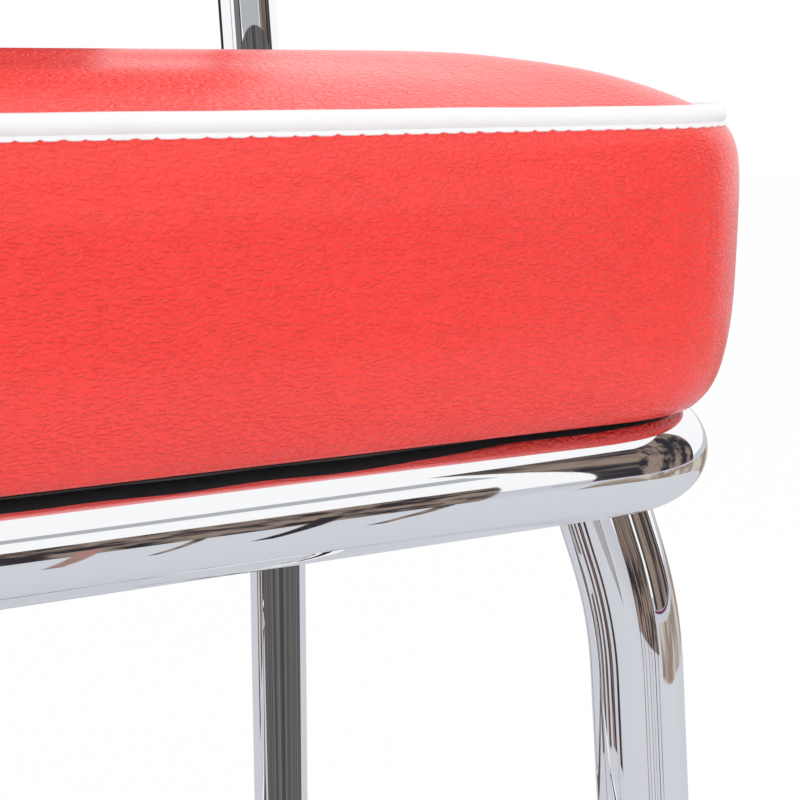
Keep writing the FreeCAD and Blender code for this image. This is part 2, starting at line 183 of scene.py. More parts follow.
class Finish:
    """A material with its surface shader, and one method that adds any other node."""

    def __init__(self, name, **constants):
        self.material = bpy.data.materials.new(name)
        self.material.use_nodes = True
        self.tree = self.material.node_tree
        self.surface = self.tree.nodes["Principled BSDF"]
        for socket, value in constants.items():
            self.surface.inputs[socket.replace("_", " ")].default_value = value
        self.place = self.node("ShaderNodeTexCoord", output="Object")

    def node(self, kind, settings=None, values=None, output=0):
        """Add a node: its settings first, then the values or links of its sockets."""
        made = self.tree.nodes.new(kind)
        for key, value in (settings or {}).items():
            setattr(made, key, value)
        for key, value in (values or {}).items():
            self.feed(made.inputs[key], value)
        return Wire(self, made.outputs[output])

    def feed(self, socket, value):
        if isinstance(value, Wire):
            self.tree.links.new(value.socket, socket)
        else:
            socket.default_value = value

    def set(self, **wires):
        """Feed sockets of the surface shader."""
        for name, wire in wires.items():
            self.feed(self.surface.inputs[name.replace("_", " ")], wire)
        return self

    def stretch(self, x, y, z, source=None):
        """Object coordinates scaled along each axis."""
        return self.node("ShaderNodeVectorMath", {"operation": "MULTIPLY"},
                         {0: source or self.place, 1: (x, y, z)})

    def noise(self, source, scale, detail=2.0, roughness=0.5):
        return self.node("ShaderNodeTexNoise", None,
                         {"Vector": source, "Scale": scale, "Detail": detail, "Roughness": roughness})

    def cells(self, source, scale, feature="DISTANCE_TO_EDGE"):
        return self.node("ShaderNodeTexVoronoi", {"feature": feature}, {"Vector": source, "Scale": scale})

    def wander(self, source, scale, amount):
        """Coordinates pushed about by a noise of three channels."""
        field = self.node("ShaderNodeTexNoise", None, {"Vector": source, "Scale": scale, "Detail": 2.0},
                          output="Color")
        centred = self.node("ShaderNodeVectorMath", {"operation": "SUBTRACT"}, {0: field, 1: (0.5, 0.5, 0.5)})
        pushed = self.node("ShaderNodeVectorMath", {"operation": "SCALE"}, {0: centred, "Scale": amount})
        return self.node("ShaderNodeVectorMath", {"operation": "ADD"}, {0: source, 1: pushed})

    def axis(self, letter):
        return self.node("ShaderNodeSeparateXYZ", None, {0: self.place}, output=letter)

    def mix(self, factor, first, second):
        """Colour between two colours."""
        made = self.tree.nodes.new("ShaderNodeMix")
        made.data_type = "RGBA"
        for index, value in ((0, factor), (6, first), (7, second)):
            if isinstance(value, tuple) and len(value) == 3:
                value = (*value, 1.0)
            self.feed(made.inputs[index], value)
        return Wire(self, made.outputs[2])

    def bump(self, height, depth, strength=1.0, under=None):
        """Normal from a height of nought to one that stands for a depth in metres."""
        values = {"Height": height, "Distance": depth, "Strength": strength}
        if under:
            values["Normal"] = under
        return self.node("ShaderNodeBump", None, values)


def shaded(base, factor):
    return tuple(min(1.0, c * factor) for c in base)


def red_vinyl(name, seam_height):
    """Upholstery vinyl: a fine embossed grain with painted shade in its low spots, long soft creases, gathers
    under the seam.
    """
    base = tuple(colours().vinyl)
    made = Finish(name, Specular_IOR_Level=0.70, IOR=1.5, Coat_Weight=0.60, Coat_Roughness=0.22)
    flat = made.stretch(1.0, 1.0, 1.9)
    loose = made.wander(flat, 160.0, 0.0026)
    pebble = made.cells(loose, 390.0).step(0.0, 0.28)
    fine = made.noise(flat, 1700.0, 2.0)
    crease = made.noise(made.wander(flat, 60.0, 0.006), 300.0, 3.0, 0.6)
    broad = made.noise(made.stretch(1.0, 1.0, 1.0), 26.0, 2.0)
    height = pebble * 0.6 + fine * 0.15 + crease * 0.8
    normal = made.bump(height, 0.00050, 1.0)
    pull = made.noise(made.stretch(1.0, 1.0, 0.12), 170.0, 2.0)
    below = made.axis("Z").step(seam_height - 0.018, seam_height - 0.002)
    normal = made.bump(pull * below, 0.0012, 0.5, normal)
    worn = 0.33 - pebble * 0.06 + broad * 0.07
    tone = made.mix(broad.step(0.35, 0.7, 0.0, 0.5), base, shaded(base, 0.93))
    # Painted shade: the base colour is darkened a little in the grain's low spots, between the pebbles
    tone = made.mix(pebble.step(0.0, 0.5, 0.10, 0.0), tone, shaded(base, 0.74))
    made.set(Base_Color=tone, Roughness=worn, Normal=normal)
    return made.material


def white_piping():
    """Smooth welt vinyl with faint cross wrinkles and a little soil in its folds."""
    base = tuple(colours().piping)
    made = Finish("white_piping_vinyl", Specular_IOR_Level=0.5)
    wrinkle = made.noise(made.stretch(1.0, 1.0, 0.35), 260.0, 3.0)
    fine = made.noise(made.place, 1400.0, 2.0)
    soil = made.noise(made.place, 45.0, 3.0).step(0.45, 0.75, 0.0, 0.6)
    tone = made.mix(soil, base, shaded(base, 0.95))
    normal = made.bump(wrinkle + fine * 0.15, 0.0002, 0.45)
    made.set(Base_Color=tone, Roughness=fine * 0.08 + 0.30, Normal=normal)
    return made.material


def chrome():
    """Bright plating: a clear mirror with the faint ripple of the polished tube under it."""
    base = tuple(colours().chrome)
    made = Finish("chrome_plate", Metallic=1.0)
    ripple = made.noise(made.place, 34.0, 2.0)
    haze = made.noise(made.place, 210.0, 4.0).step(0.45, 0.8)
    speck = made.cells(made.place, 330.0, "F1").step(0.03, 0.07, 1.0, 0.0)
    tone = made.mix(haze * 0.4, base, shaded(base, 0.97))
    normal = made.bump(ripple, 0.0004, 0.10)
    made.set(Base_Color=tone, Roughness=haze * 0.022 + speck * 0.03 + 0.022, Normal=normal)
    return made.material


def dust_cloth():
    """Non-woven cloth with small bonded points in a diagonal lattice."""
    base = tuple(colours().cloth)
    made = Finish("dust_cloth", Specular_IOR_Level=0.4, Sheen_Weight=0.25, Sheen_Roughness=0.5)
    turned = made.node("ShaderNodeMapping", None,
                       {"Vector": made.place, "Rotation": (0, 0, math.radians(45))})
    spots = made.node("ShaderNodeTexVoronoi", {"feature": "F1"},
                      {"Vector": turned, "Scale": 620.0, "Randomness": 0.25})
    points = spots.step(0.16, 0.42, 1.0, 0.0)
    fibre = made.noise(made.place, 1900.0, 3.0)
    tone = made.mix(points * 0.7 + fibre * 0.3, base, shaded(base, 3.4))
    normal = made.bump(fibre * 0.5 - points, 0.00025, 0.6)
    made.set(Base_Color=tone, Roughness=fibre * 0.2 + 0.62, Normal=normal)
    return made.material


def plywood_finish():
    made = Finish("birch_plywood", Specular_IOR_Level=0.3)
    bands = made.noise(made.stretch(4.0, 60.0, 60.0), 3.0, 4.0, 0.6)
    plies = made.node("ShaderNodeTexWave", {"bands_direction": "Z"},
                      {"Vector": made.place, "Scale": 130.0, "Distortion": 0.6})
    tone = made.mix(bands, (0.58, 0.38, 0.20), (0.74, 0.55, 0.34))
    tone = made.mix(plies * 0.35, tone, (0.36, 0.22, 0.12))
    made.set(Base_Color=tone, Roughness=bands * 0.2 + 0.6, Normal=made.bump(bands, 0.0003, 0.4))
    return made.material


def plated_finish(name, base, rough):
    """Plated steel with a fine drawn grain, darker in its low spots."""
    made = Finish(name, Metallic=1.0)
    grain = made.noise(made.stretch(1.0, 1.0, 0.2), 1600.0, 3.0)
    cloud = made.noise(made.place, 190.0, 3.0)
    tone = made.mix(cloud * 0.6, base, shaded(base, 0.8))
    made.set(Base_Color=tone, Roughness=grain * 0.15 + rough, Normal=made.bump(grain, 0.00005, 0.4))
    return made.material


def painted_finish():
    made = Finish("black_paint", Specular_IOR_Level=0.5)
    peel = made.noise(made.place, 420.0, 2.0)
    tone = made.mix(peel, (0.018, 0.018, 0.019), (0.030, 0.030, 0.031))
    made.set(Base_Color=tone, Roughness=peel * 0.12 + 0.34, Normal=made.bump(peel, 0.0002, 0.3))
    return made.material


def plastic_finish(name, base, rough):
    """Moulded plastic with a spark-eroded texture."""
    made = Finish(name, Specular_IOR_Level=0.5)
    texture = made.noise(made.place, 1500.0, 3.0)
    tone = made.mix(texture, base, shaded(base, 1.25))
    made.set(Base_Color=tone, Roughness=texture * 0.12 + rough, Normal=made.bump(texture, 0.00012, 0.5))
    return made.material


# Modelling helpers


def open_primitive(add, name, **settings):
    """Add one primitive at its size and place, with nothing else selected, and open it for editing."""
    bpy.ops.object.select_all(action="DESELECT")
    add(**settings)
    piece = bpy.context.object
    piece.name = name
    piece.data.name = name
    bpy.ops.object.transform_apply(location=True, rotation=True, scale=True)
    bpy.ops.object.mode_set(mode="EDIT")
    bpy.ops.mesh.select_all(action="SELECT")
    return piece


def leave():
    bpy.ops.object.mode_set(mode="OBJECT")


def tidy_normals():
    """Merge what lies together and turn every face outwards. The mesh is open for editing."""
    bpy.ops.mesh.select_all(action="SELECT")
    bpy.ops.mesh.remove_doubles(threshold=0.000002)
    bpy.ops.mesh.normals_make_consistent(inside=False)


def select_where(piece, test, kind="verts"):
    """Select the vertices, edges or faces that pass a test, and nothing else."""
    bpy.ops.mesh.select_all(action="DESELECT")
    mesh = bmesh.from_edit_mesh(piece.data)
    chosen = [item for item in getattr(mesh, kind) if test(item)]
    for item in chosen:
        item.select_set(True)
    mesh.select_flush(True)
    bmesh.update_edit_mesh(piece.data)
    return len(chosen)


def modify(piece, kind, **settings):
    """Add a modifier, set it and apply it."""
    bpy.ops.object.select_all(action="DESELECT")
    piece.select_set(True)
    bpy.context.view_layer.objects.active = piece
    added = piece.modifiers.new(kind.title(), kind)
    for key, value in settings.items():
        setattr(added, key, value)
    bpy.ops.object.modifier_apply(modifier=added.name)


def smooth(piece, angle=math.radians(35)):
    bpy.ops.object.select_all(action="DESELECT")
    piece.select_set(True)
    bpy.context.view_layer.objects.active = piece
    bpy.ops.object.shade_smooth_by_angle(angle=angle)


def put_in_place(piece, matrix):
    """Move a finished mesh, with its object left at the origin."""
    piece.matrix_world = matrix
    bpy.ops.object.select_all(action="DESELECT")
    piece.select_set(True)
    bpy.context.view_layer.objects.active = piece
    bpy.ops.object.transform_apply(location=True, rotation=True, scale=True)


def dress(piece, material):
    piece.data.materials.clear()
    piece.data.materials.append(material)


def deliver(piece, material, slot, *nodes, body="frame"):
    """Give a finished piece its finish, the body it rides on and the nodes it stands for."""
    dress(piece, material)
    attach(piece, body)
    if nodes:
        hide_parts(*nodes)


# Tubes


def bends_of(points, radius):
    """Straight moves and bends along a path, as (start, arc centre, axis, turn, arc end)."""
    found = []
    for before, corner, after in zip(points, points[1:], points[2:]):
        come = (corner - before).normalized()
        away = (after - corner).normalized()
        turn = come.angle(away)
        reach = radius * math.tan(turn / 2)
        axis = come.cross(away).normalized()
        start = corner - come * reach
        found.append((start, start + axis.cross(come) * radius, axis, turn, corner + away * reach))
    return found


def extrude_run(way, longest):
    """Extrude the open ring along a straight way, in equal steps no longer than asked."""
    steps = math.ceil(way.length / longest)
    for _ in range(steps):
        bpy.ops.mesh.extrude_region_move(TRANSFORM_OT_translate={"value": way / steps})


def draw_tube(name, points, bend_radius, tube_radius, sides=56, bend_steps=14, longest=2.0):
    """Round tube: a circle square to its first run, extruded along the runs and spun round the bends."""
    first = (points[1] - points[0]).normalized()
    turned = first.to_track_quat("Z", "Y").to_euler()
    piece = open_primitive(bpy.ops.mesh.primitive_circle_add, name, vertices=sides, radius=tube_radius,
                           location=points[0], rotation=turned)
    here = points[0]
    for start, centre, axis, turn, end in bends_of(points, bend_radius):
        extrude_run(start - here, longest)
        # With no window the operator turns the other way, so the turn is given as negative
        bpy.ops.mesh.spin(steps=bend_steps, angle=-turn, center=centre, axis=axis)
        here = end
    extrude_run(points[-1] - here, longest)
    tidy_normals()
    leave()
    return piece


def rounded_path(half_x, half_y, z, middle_y=0.0):
    """Corner points of a rectangle, started and ended at the middle of its rear side."""
    corners = [(-1, 1), (-1, -1), (1, -1), (1, 1)]
    middle = Vector((0, middle_y + half_y, z))
    return [middle] + [Vector((sx * half_x, middle_y + sy * half_y, z)) for sx, sy in corners] + [middle]


def front_leg_points(side):
    """Plug flange, knee and top of a front leg's centre line."""
    s = sizes()
    splay_x, splay_y = s.front_splay
    half_x = (s.hoop_width - s.tube) / 2 - s.front_inset_x
    half_y = (s.hoop_depth - s.tube) / 2 - s.front_inset_y
    knee = Vector((side * (half_x + splay_x * s.front_knee), HOOP_Y - half_y - splay_y * s.front_knee,
                   HOOP_Z - s.front_knee))
    down = Vector((side * splay_x, -splay_y, -1))
    lean = math.radians(19.0)
    inward = math.sin(lean) * math.sqrt(0.5)
    upward = Vector((-side * inward, inward, math.cos(lean)))
    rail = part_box("front_cross_rail")[0].z
    top = knee + upward * ((rail - knee.z) / upward.z)
    foot = knee + down * (knee.z - s.ankle)
    return [foot + (knee - foot).normalized() * s.plug_flange, knee, top]


def rear_leg_points(side):
    """Plug flange, knee and top of a rear leg and its upright."""
    s = sizes()
    splay_x, splay_y = s.rear_splay
    across = s.hoop_corner - s.rear_inset
    # The leg touches the outside of the hoop's corner and bites 0.8 mm into it for the weld
    reach = s.hoop_corner + s.tube - 0.0008
    back = HOOP_Y + (s.hoop_depth - s.tube) / 2 - s.hoop_corner + math.sqrt(reach ** 2 - across ** 2)
    knee = Vector((side * ((s.hoop_width - s.tube) / 2 - s.rear_inset), back - s.upright_lean * s.rear_knee,
                   HOOP_Z - s.rear_knee))
    fall = knee.z - s.ankle
    foot = knee + Vector((side * splay_x * fall, splay_y * fall, -fall))
    rise = s.upright_top - knee.z
    top = knee + Vector((0, s.upright_lean * rise, rise))
    return [foot + (knee - foot).normalized() * s.plug_flange, knee, top]


def at_height(points, z):
    foot, knee = points[0], points[1]
    return foot + (knee - foot) * ((z - foot.z) / (knee.z - foot.z))


# Pads


def outline_point(share_round, a, b, radius):
    """Point of a rounded rectangle: nought is the front right diagonal, and it runs to the rear first.

    share_round counts the four sides, each from one diagonal to the next.
    """
    side = int(share_round) % 4
    t = share_round - int(share_round)
    along = (b if side % 2 == 0 else a) - radius
    out = (a if side % 2 == 0 else b) - radius
    arc = radius * math.pi / 4
    s = t * (2 * along + 2 * arc)
    if s < arc:
        angle = s / radius - math.pi / 4
        u, v = -along + radius * math.sin(angle), out + radius * math.cos(angle)
    elif s > arc + 2 * along:
        angle = (s - arc - 2 * along) / radius
        u, v = along + radius * math.sin(angle), out + radius * math.cos(angle)
    else:
        u, v = s - arc - along, out + radius
    turns = {0: (v, u), 1: (-u, v), 2: (-v, -u), 3: (u, -v)}
    return Vector(turns[side])


def inward_of(x, y, a, b, radius):
    """Distance of a point inside a rounded rectangle from its outline."""
    qx = abs(x) - (a - radius)
    qy = abs(y) - (b - radius)
    outside = math.hypot(max(qx, 0), max(qy, 0))
    return radius - outside - min(max(qx, qy), 0)


def blend_points(pairs, t):
    """Smooth curve through (place, value) pairs."""
    for i in range(len(pairs) - 1):
        (t0, v0), (t1, v1) = pairs[i], pairs[i + 1]
        if t <= t1 or i == len(pairs) - 2:
            before = pairs[i - 1] if i else pairs[i]
            after = pairs[i + 2] if i + 2 < len(pairs) else pairs[i + 1]
            slope0 = (v1 - before[1]) / (t1 - before[0])
            slope1 = (after[1] - v0) / (after[0] - t0)
            w = t1 - t0
            u = (t - t0) / w
            return ((2 * u ** 3 - 3 * u ** 2 + 1) * v0 + (u ** 3 - 2 * u ** 2 + u) * w * slope0
                    + (3 * u ** 2 - 2 * u ** 3) * v1 + (u ** 3 - u ** 2) * w * slope1)
    return pairs[-1][1]


# Share of the side's height, and how far the side stands out from the board there, in metres
SIDE_SHAPE = ((0.0, -0.0040), (0.06, 0.0007), (0.14, 0.0031), (0.30, 0.0053), (0.57, 0.0058),
              (0.86, 0.0053), (0.95, 0.0024), (1.0, -0.0022))


class PadShape:
    """The sizes of a box pad that lies on the plane z = 0, in metres."""

    def __init__(self, a, b, corner, side, crown, across, along):
        self.a, self.b, self.corner = a, b, corner
        self.side, self.crown = side, crown
        self.across, self.along = across, along
        self.seam = SIDE_SHAPE[-1][1]

    def way_in(self):
        return 0.57 * self.b

    def ring(self, k, offset):
        """Place of point k of the ring at an offset from the board's outline."""
        counts = (self.along, self.across, self.along, self.across)
        side = 0
        while k >= counts[side]:
            k -= counts[side]
            side += 1
        return outline_point(side + k / counts[side], self.a + offset, self.b + offset, self.corner + offset)

    def dome(self, x, y):
        inward = inward_of(x, y, self.a + self.seam, self.b + self.seam, self.corner + self.seam)
        u = min(max(inward / self.way_in(), 0), 1)
        return self.side + self.crown * (1 - (1 - u) ** 3)


def pad_cage(name, shape, levels):
    """Closed pad: a circle extruded level by level, set on its outline, with grids over both ends."""
    count = 2 * (shape.across + shape.along)
    piece = open_primitive(bpy.ops.mesh.primitive_circle_add, name, vertices=count, radius=1.0)
    for _ in range(levels):
        bpy.ops.mesh.extrude_region_move(TRANSFORM_OT_translate={"value": (0, 0, 1)})
    mesh = bmesh.from_edit_mesh(piece.data)
    corners = {}
    for vert in mesh.verts:
        k = ring_index(vert, count)
        level = round(vert.co.z)
        t = level / levels
        t = 0.5 - 0.5 * math.cos(math.pi * t)
        place = shape.ring(k, blend_points(SIDE_SHAPE, t))
        vert.co = (place.x, place.y, t * shape.side)
        if k == 0 and level in (0, levels):
            corners[level] = vert.index
    bmesh.update_edit_mesh(piece.data)
    for level in (0, levels):
        height = level / levels * shape.side
        select_where(piece, lambda v: abs(v.co.z - height) < 0.00001)
        mesh = bmesh.from_edit_mesh(piece.data)
        mesh.verts.ensure_lookup_table()
        mesh.select_history.clear()
        mesh.select_history.add(mesh.verts[corners[level]])
        bmesh.update_edit_mesh(piece.data)
        bpy.ops.mesh.fill_grid(span=shape.along, offset=0, use_interp_simple=True)
    mesh = bmesh.from_edit_mesh(piece.data)
    for vert in mesh.verts:
        if abs(vert.co.z - shape.side) < 0.00001:
            vert.co.z = shape.dome(vert.co.x, vert.co.y)
    bmesh.update_edit_mesh(piece.data)
    tidy_normals()
    leave()
    return piece


def press_out(piece, pinned, cap, pressure=4.0, frames=20):
    """Swell a cover over its padding by a cloth simulation, held along its seam and its foot."""
    rest = [v.co.copy() for v in piece.data.vertices]
    group = piece.vertex_groups.new(name="held")
    group.add([v.index for v in piece.data.vertices if pinned(v.co)], 1.0, "REPLACE")
    scene = bpy.context.scene
    scene.frame_start, scene.frame_end = 1, frames
    cloth = piece.modifiers.new("Cloth", "CLOTH")
    cloth.settings.vertex_group_mass = group.name
    cloth.settings.quality = 6
    cloth.settings.tension_stiffness = 40
    cloth.settings.compression_stiffness = 40
    cloth.settings.shear_stiffness = 15
    cloth.settings.bending_stiffness = 4
    cloth.settings.use_pressure = True
    cloth.settings.uniform_pressure_force = pressure
    cloth.settings.effector_weights.gravity = 0
    cloth.point_cache.frame_start, cloth.point_cache.frame_end = 1, frames
    for number in range(1, frames + 1):
        scene.frame_set(number)
    shaped = piece.evaluated_get(bpy.context.evaluated_depsgraph_get())
    moved = [v.co.copy() for v in shaped.data.vertices]
    piece.modifiers.remove(cloth)
    for vert, start, end in zip(piece.data.vertices, rest, moved):
        step = end - start
        if step.length > cap:
            step = step.normalized() * cap
        vert.co = start + step
    scene.frame_set(1)
    piece.vertex_groups.clear()


def welt(name, shape, radius, z, seed):
    """Welt cord along a pad's seam, which rises and falls a little between the gathers."""
    offset = -0.0016
    corner = shape.corner + offset
    path = rounded_path(shape.a + offset, shape.b + offset, z)
    cord = draw_tube(name, path, corner, radius, sides=20, bend_steps=24, longest=0.0035)
    rng = random.Random(seed)
    phases = [rng.uniform(0, 2 * math.pi) for _ in range(8)]
    for vert in cord.data.vertices:
        x, y = vert.co.x, vert.co.y
        run = (x + y) * 2 * math.pi
        wave = sum(math.sin(run * f + p) for f, p in zip((5, 9, 14, 23), phases)) / 4
        vert.co.z += 0.00018 * wave
    return cord


def notches(count, total, pitch, seed):
    """Depth of the notches at equal steps round a seam, one notch at each gather."""
    rng = random.Random(seed)
    notch = [0.0] * count
    run = 0.0
    while run < total - pitch / 2:
        depth, width = rng.uniform(0.7, 1.2), rng.uniform(0.0005, 0.0008)
        middle = run / total * count
        reach = int(3 * width / total * count) + 1
        for k in range(int(middle) - reach, int(middle) + reach + 1):
            near = abs(k - middle) * total / count / width
            notch[k % count] = max(notch[k % count], depth * math.exp(-near ** 2))
        run += pitch * rng.uniform(0.85, 1.15)
    return notch


def ring_index(vert, count):
    """Which point of a circle of equal steps a vertex belongs to."""
    return round(math.atan2(vert.co.y, vert.co.x) / (2 * math.pi / count)) % count


def gather_lip(name, shape, radius, z, pitch, seed):
    """Thin white rim of the welt's flange, with a small notch in its lower edge at each gather."""
    count, rows = 1600, 3
    piece = open_primitive(bpy.ops.mesh.primitive_circle_add, name, vertices=count, radius=1.0)
    for _ in range(rows):
        bpy.ops.mesh.extrude_region_move(TRANSFORM_OT_translate={"value": (0, 0, -1)})
    sides = (2 * (shape.b - shape.corner) + math.pi / 2 * shape.corner,
             2 * (shape.a - shape.corner) + math.pi / 2 * shape.corner)
    total = 2 * sum(sides)
    notch = notches(count, total, pitch, seed)
    mesh = bmesh.from_edit_mesh(piece.data)
    for vert in mesh.verts:
        k = ring_index(vert, count)
        row = -round(vert.co.z) / rows
        run = k / count * total
        side = 0
        while run >= sides[side % 2]:
            run -= sides[side % 2]
            side += 1
        high = radius * 0.45
        low = radius + 0.0002 - 0.0004 * notch[k]
        drop = high + (low - high) * row
        out = blend_points(SIDE_SHAPE, 1 - drop / shape.side)
        place = outline_point(side + run / sides[side % 2], shape.a + out, shape.b + out, shape.corner + out)
        vert.co = (place.x, place.y, z - drop)
    bmesh.update_edit_mesh(piece.data)
    tidy_normals()
    leave()
    return piece


def lay_on(piece, base, gap):
    """Set a thin ring on another piece's surface, then give it its thickness inwards."""
    for vert in piece.data.vertices:
        _, place, normal, _ = base.closest_point_on_mesh(vert.co)
        vert.co = place + normal * gap
    modify(piece, "SOLIDIFY", thickness=gap, offset=-1.0)
    smooth(piece)


# Operators


class STOOL_OT_tube_frame(bpy.types.Operator):
    """Model the hoop, legs, uprights and foot bars as chromed round tubes"""

    bl_idname = "stool.tube_frame"
    bl_label = "Tube frame"

    def execute(self, context):
        s = sizes()
        plate = chrome()
        r = s.tube / 2
        path = rounded_path((s.hoop_width - s.tube) / 2, (s.hoop_depth - s.tube) / 2, HOOP_Z, HOOP_Y)
        hoop = draw_tube("hoop_tube", path, s.hoop_corner, r, sides=72, bend_steps=24)
        smooth(hoop)
        deliver(hoop, plate, "chrome", "seat_hoop")
        for word, side in SIDES.items():
            leg = draw_tube("front_leg_tube_" + word, front_leg_points(side), s.front_bend, r, bend_steps=12)
            self.wall(leg, s.tube_wall)
            deliver(leg, plate, "chrome", "front_leg_" + word)
            leg = draw_tube("rear_leg_tube_" + word, rear_leg_points(side), s.rear_bend, r, bend_steps=12)
            self.wall(leg, s.tube_wall)
            deliver(leg, plate, "chrome", "rear_leg_" + word)
        self.foot_bars(plate)
        return {"FINISHED"}

    def wall(self, tube, thickness):
        modify(tube, "SOLIDIFY", thickness=thickness, offset=-1.0)
        smooth(tube)

    def foot_bars(self, plate):
        s = sizes()
        ends = {}
        for word, side in SIDES.items():
            ends["front_" + word] = front_leg_points(side)
            ends["rear_" + word] = rear_leg_points(side)
        bars = (("front_footrest_bar", "front_left", "front_right"),
                ("rear_stretcher", "rear_left", "rear_right"),
                ("left_side_stretcher", "front_left", "rear_left"),
                ("right_side_stretcher", "front_right", "rear_right"))
        for node, start, end in bars:
            z = centre_of(node).z
            points = [at_height(ends[start], z), at_height(ends[end], z)]
            bar = draw_tube(node + "_tube", points, 0.1, s.bar / 2, sides=40)
            smooth(bar)
            deliver(bar, plate, "chrome", node)


class STOOL_OT_seat_cushion(bpy.types.Operator):
    """Model the seat's red cover over its foam and swell it by simulation"""

    bl_idname = "stool.seat_cushion"
    bl_label = "Seat cushion"

    def execute(self, context):
        shape = seat_shape()
        cushion = pad_cage("seat_cushion", shape, 14)
        press_out(cushion, lambda p: p.z < 0.001 or abs(p.z - shape.side) < 0.0005, sizes().swell)
        put_in_place(cushion, Matrix.Translation((0, HOOP_Y, SEAT_BASE)))
        modify(cushion, "SUBSURF", levels=1, render_levels=1)
        smooth(cushion, math.radians(60))
        deliver(cushion, red_vinyl("red_vinyl_seat", SEAT_BASE + shape.side), "red_vinyl",
                "seat_cover", "seat_foam")
        return {"FINISHED"}


def seat_shape():
    s = sizes()
    return PadShape(s.hoop_width / 2, s.hoop_depth / 2, s.hoop_corner + s.tube / 2, s.seat_side,
                    s.seat_crown, 54, 48)


def back_shape():
    s = sizes()
    return PadShape(s.back_width / 2, s.back_height / 2, s.back_corner, s.back_side, s.back_crown, 64, 24)


def back_matrix():
    """Where the back pad, modelled lying down, stands against the uprights."""
    s = sizes()
    knee, top = rear_leg_points(1)[1:]
    axis = knee + (top - knee) * ((s.back_centre - knee.z) / (top.z - knee.z))
    tilt = Matrix.Rotation(math.pi / 2 - math.atan(s.upright_lean), 4, "X")
    origin = Vector((0, axis.y, axis.z)) + tilt.to_3x3() @ Vector((0, 0, s.tube / 2))
    return Matrix.Translation(origin) @ tilt


class STOOL_OT_seat_piping(bpy.types.Operator):
    """Model the white welt cord round the seat and its gathered lip"""

    bl_idname = "stool.seat_piping"
    bl_label = "Seat piping"

    def execute(self, context):
        s = sizes()
        shape = seat_shape()
        white = white_piping()
        cord = welt("seat_piping_cord", shape, s.piping / 2, s.seat_side, 4)
        smooth(cord, math.radians(60))
        put_in_place(cord, Matrix.Translation((0, HOOP_Y, SEAT_BASE)))
        deliver(cord, white, "white_piping", "seat_piping")
        lip = gather_lip("seat_piping_lip", shape, s.piping / 2, s.seat_side, s.notch_pitch, 7)
        put_in_place(lip, Matrix.Translation((0, HOOP_Y, SEAT_BASE)))
        lay_on(lip, bpy.data.objects["seat_cushion"], 0.0004)
        deliver(lip, white, "white_piping")
        return {"FINISHED"}


class STOOL_OT_dust_sheet(bpy.types.Operator):
    """Model the black cloth stapled under the seat, cut by hand along its edge"""

    bl_idname = "stool.dust_sheet"
    bl_label = "Dust cloth"

    def execute(self, context):
        shape = seat_shape()
        count = 2 * (shape.across + shape.along)
        sheet = open_primitive(bpy.ops.mesh.primitive_circle_add, "dust_sheet", vertices=count, radius=1.0)
        rng = random.Random(11)
        phases = [rng.uniform(0, 2 * math.pi) for _ in range(4)]
        mesh = bmesh.from_edit_mesh(sheet.data)
        mesh.verts.ensure_lookup_table()
        edge = {}
        for vert in mesh.verts:
            k = ring_index(vert, count)
            turn = 2 * math.pi * k / count
            wave = sum(math.sin(turn * f + p) for f, p in zip((7, 13, 22, 37), phases)) / 4
            skimped = min(max(shape.ring(k, 0).x / shape.a - 0.40, 0) / 0.30, 1)
            edge[k] = shape.ring(k, -0.0046 + 0.0011 * wave - 0.0044 * skimped)
            vert.co = (edge[k].x, edge[k].y, 0)
            if k == 0:
                corner = vert
        mesh.select_history.clear()
        mesh.select_history.add(corner)
        bmesh.update_edit_mesh(sheet.data)
        bpy.ops.mesh.fill_grid(span=shape.along, offset=0, use_interp_simple=True)
        tidy_normals()
        leave()
        modify(sheet, "SOLIDIFY", thickness=0.0003, offset=0.0)
        put_in_place(sheet, Matrix.Translation((0, HOOP_Y, (HOOP_TOP + SEAT_BASE) / 2)))
        deliver(sheet, dust_cloth(), "black_cloth", "seat_dust_cover")
        return {"FINISHED"}


class STOOL_OT_back_pad(bpy.types.Operator):
    """Model the back pad and its piping, set in front of the rear panel"""

    bl_idname = "stool.back_pad"
    bl_label = "Back pad"

    def execute(self, context):
        s = sizes()
        shape = back_shape()
        place = back_matrix() @ Matrix.Translation((0, 0, s.back_panel))
        pad = pad_cage("back_cushion", shape, 8)
        press_out(pad, lambda p: p.z < 0.001 or abs(p.z - shape.side) < 0.0005, sizes().swell / 2)
        put_in_place(pad, place)
        modify(pad, "SUBSURF", levels=1, render_levels=1)
        smooth(pad, math.radians(60))
        deliver(pad, red_vinyl("red_vinyl_back", 9.0), "red_vinyl", "back_cover", "back_foam")
        white = white_piping()
        cord = welt("back_piping_cord", shape, s.piping / 2, s.back_side, 5)
        smooth(cord, math.radians(60))
        put_in_place(cord, place)
        deliver(cord, white, "white_piping", "back_piping")
        return {"FINISHED"}


